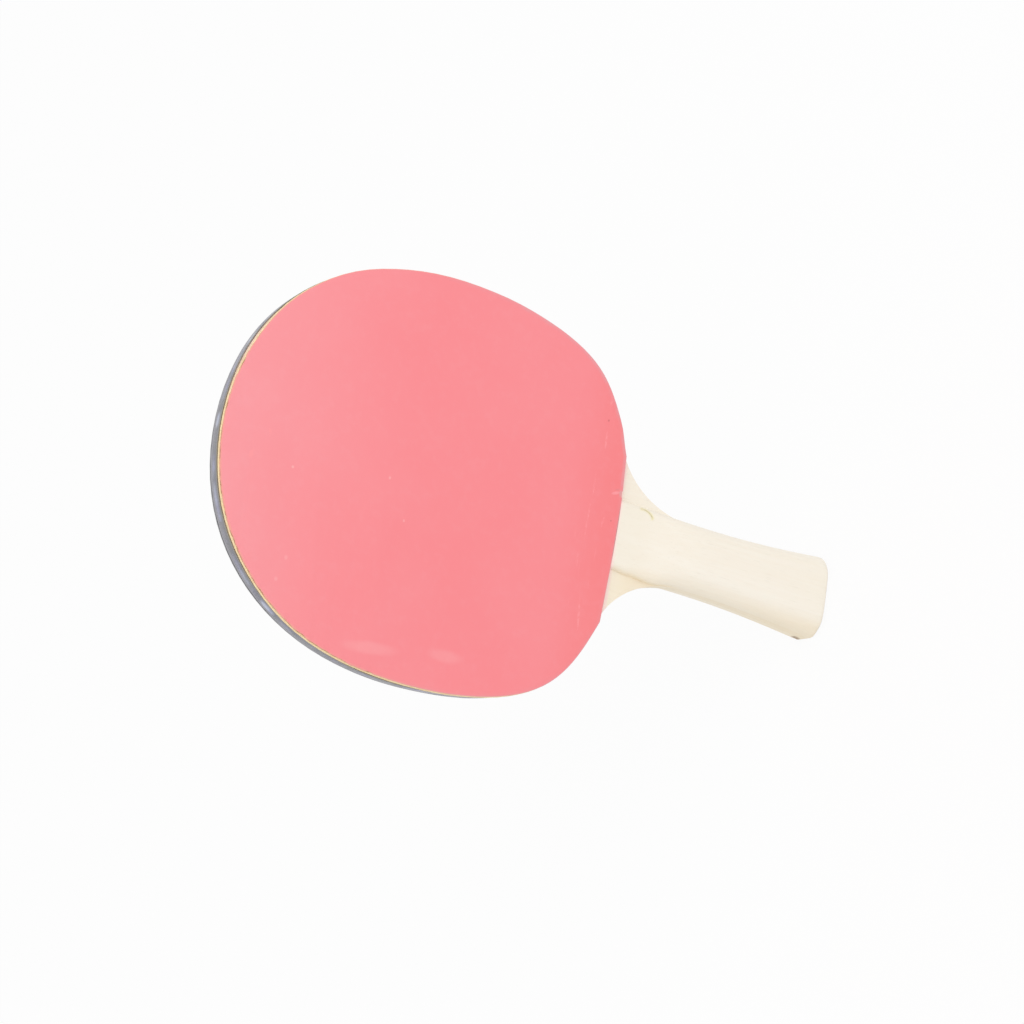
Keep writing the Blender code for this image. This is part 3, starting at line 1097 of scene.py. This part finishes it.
def add_surroundings():
    """White all round, seen at its full strength and lighting the bat a little less."""
    world = bpy.data.worlds.new("studio")
    bpy.context.scene.world = world
    world.use_nodes = True
    sky = world.node_tree.nodes["Background"]
    sky.inputs["Color"].default_value = WHITE
    seen = background_rays(Value(world.node_tree, sky.outputs[0]))
    strength = WORLD_LIGHT + seen * (1 - WORLD_LIGHT)
    world.node_tree.links.new(strength.socket, sky.inputs["Strength"])
    bpy.context.scene.view_settings.view_transform = "Standard"


def add_floor():
    """Pale matt floor that keeps a light shadow of the bat."""
    bpy.ops.object.select_all(action="DESELECT")
    bpy.ops.mesh.primitive_plane_add(size=FLOOR_SIZE)
    floor = bpy.context.object
    floor.name = "floor"
    made = bpy.data.materials.new("pale_floor")
    made.use_nodes = True
    tree = made.node_tree
    matt = tree.nodes["Principled BSDF"]
    matt.inputs["Base Color"].default_value = FLOOR_COLOUR
    matt.inputs["Roughness"].default_value = 1
    matt.inputs["Specular IOR Level"].default_value = 0
    glow = tree.nodes.new("ShaderNodeEmission")
    share = background_rays(Value(tree, glow.outputs[0])) * FLOOR_GLOW
    both = tree.nodes.new("ShaderNodeMixShader")
    tree.links.new(share.socket, both.inputs[0])
    tree.links.new(matt.outputs[0], both.inputs[1])
    tree.links.new(glow.outputs[0], both.inputs[2])
    tree.links.new(both.outputs[0], tree.nodes["Material Output"].inputs["Surface"])
    floor.data.materials.append(made)


def add_lamp():
    """One large soft lamp, in front of the bat and above it."""
    lamp = bpy.data.lights.new("key", "AREA")
    lamp.size = KEY_SIZE
    lamp.energy = KEY_POWER
    key = bpy.data.objects.new("key", lamp)
    key.location = KEY_PLACE
    key.rotation_mode = "QUATERNION"
    key.rotation_quaternion = (LOOK_AT - KEY_PLACE).to_track_quat("-Z", "Y")
    bpy.context.scene.collection.objects.link(key)


def add_camera():
    """Camera that looks at the bat as in the photograph, turned about its line of sight."""
    lens = bpy.data.cameras.new("camera")
    lens.lens = LENS
    lens.sensor_width = SENSOR
    camera = bpy.data.objects.new("camera", lens)
    level = math.cos(ELEVATION)
    back = Vector((math.sin(AZIMUTH) * level, -math.cos(AZIMUTH) * level, math.sin(ELEVATION)))
    camera.location = LOOK_AT + back * DISTANCE
    camera.rotation_mode = "QUATERNION"
    camera.rotation_quaternion = (-back).to_track_quat("-Z", "Y") @ Quaternion((0, 0, 1), -ROLL)
    bpy.context.scene.collection.objects.link(camera)
    bpy.context.scene.camera = camera


# Finishes
red_rubber = rubber_finish(
    "red_rubber_finish",
    body=(0.960, 0.260, 0.284),
    deep=(0.950, 0.222, 0.230),
    # Tint of the dusty haze and of the painted sheen at the tip
    bloom_and_sheen=(0.960, 0.370, 0.402),
    scuffed=(1.0, 0.335, 0.350),
    # The rim near the handle is duller with wear and painted shade; the side of the sheet is a painted
    # highlight
    cut=(0.82, 0.350, 0.375),
    side=(0.93, 0.37, 0.31),
    # The sheet's inside is painted shade between the pips, and the pips are painted lighter, as if lit
    inner=(0.66, 0.34, 0.22),
    pip=(0.98, 0.52, 0.42),
    scuffs=RED_SCUFFS,
    smears=RED_SMEARS,
)
black_rubber = rubber_finish(
    "black_rubber_finish",
    body=(0.062, 0.062, 0.067),
    deep=(0.055, 0.055, 0.059),
    # Tint of the dusty haze and of the painted sheen at the tip
    bloom_and_sheen=(0.110, 0.110, 0.118),
    scuffed=(0.150, 0.150, 0.160),
    # Rim, side, inside and pips are pale grey: painted light on the shaded edges of black rubber, with some
    # wear on the rim
    cut=(0.29, 0.29, 0.30),
    side=(0.36, 0.36, 0.37),
    inner=(0.30, 0.30, 0.305),
    pip=(0.33, 0.33, 0.34),
)
yellow_foam = foam_finish(
    "yellow_foam_finish",
    light=(1.00, 0.81, 0.50),
    deep=(0.99, 0.73, 0.40),
    pit=(0.85, 0.52, 0.27),
    # Brown tint of the painted shade between the pips, and of the darkening next to the tape
    glued=(0.66, 0.38, 0.22),
)
dark_foam = foam_finish(
    "dark_foam_finish",
    light=(0.335, 0.330, 0.340),
    deep=(0.285, 0.282, 0.290),
    pit=(0.16, 0.16, 0.163),
    # Tint of the painted shade between the pips, and of the darkening next to the tape
    glued=(0.30, 0.30, 0.30),
)
film = tape_finish(
    "tape_film_finish",
    grey=(0.180, 0.173, 0.176),
    blue=(0.168, 0.169, 0.200),
    # The paler patches are partly painted reflection; the next two colours are the painted sheen and the
    # painted gleams
    rubbed_and_reflected=(0.235, 0.236, 0.275),
    painted_sheen_colour=(0.32, 0.315, 0.47),
    painted_gleam_colour=(0.50, 0.54, 0.68),
    # Borders painted paler against their shade, the front one yellowish
    back=(0.36, 0.35, 0.38),
    front=(0.30, 0.260, 0.170),
)
# Painted shade on the handle's lower edge, a brown patch on the butt, and painted pink light along the
# rubber's edge
SHADE_LIGHT_AND_PATCH = [
    (painted_lower_shade, (0.90, 0.77, 0.56)),
    (butt_brown_patch, (0.36, 0.25, 0.17)),
    (painted_pink_lift, (1.0, 0.800, 0.735)),
]
DENT_MARKS = [(dent_stain, (0.92, 0.84, 0.51)), (dent_dirt, (0.56, 0.48, 0.24))]
# Painted shade on the scales' lower side, and hand dirt on the front of the handle
SHADE_AND_HAND_DIRT = [(painted_toe_shade, (0.91, 0.82, 0.63)), (toe_tan, (0.89, 0.82, 0.68))]
YELLOWING = [(yellowed_wing, (0.96, 0.86, 0.61))]
face_wood = wood_finish(
    "face_wood_finish",
    pale=(0.970, 0.915, 0.810),
    dark=(0.935, 0.860, 0.720),
    stains=YELLOWING + SHADE_LIGHT_AND_PATCH,
)
cross_wood = wood_finish(
    "cross_wood_finish",
    pale=(0.91, 0.83, 0.69),
    dark=(0.84, 0.74, 0.57),
    stains=SHADE_LIGHT_AND_PATCH,
    grain_turn=math.pi / 2,
)
core_wood = wood_finish(
    "core_wood_finish",
    pale=(0.94, 0.87, 0.74),
    dark=(0.88, 0.79, 0.63),
    stains=SHADE_LIGHT_AND_PATCH,
)
handle_wood = wood_finish(
    "handle_wood_finish",
    pale=(0.965, 0.915, 0.815),
    dark=(0.925, 0.852, 0.720),
    stains=DENT_MARKS + SHADE_AND_HAND_DIRT + SHADE_LIGHT_AND_PATCH,
)

# Pieces of the bat
rubber_sheet("front", "red_sheet", red_rubber)
rubber_sheet("back", "black_sheet", black_rubber)
foam("front", yellow_foam)
foam("back", dark_foam)
for side in ("front", "back"):
    handle_scale(side, handle_wood)
    veneer(f"{side}_face_ply", f"{side}_face_veneer", face_wood, worn_wings=True)
    veneer(f"{side}_cross_ply", f"{side}_cross_veneer", cross_wood)
veneer("core_ply", "core_layer", core_wood)
edge_tape(film)

# Studio
add_surroundings()
add_floor()
add_lamp()
add_camera()
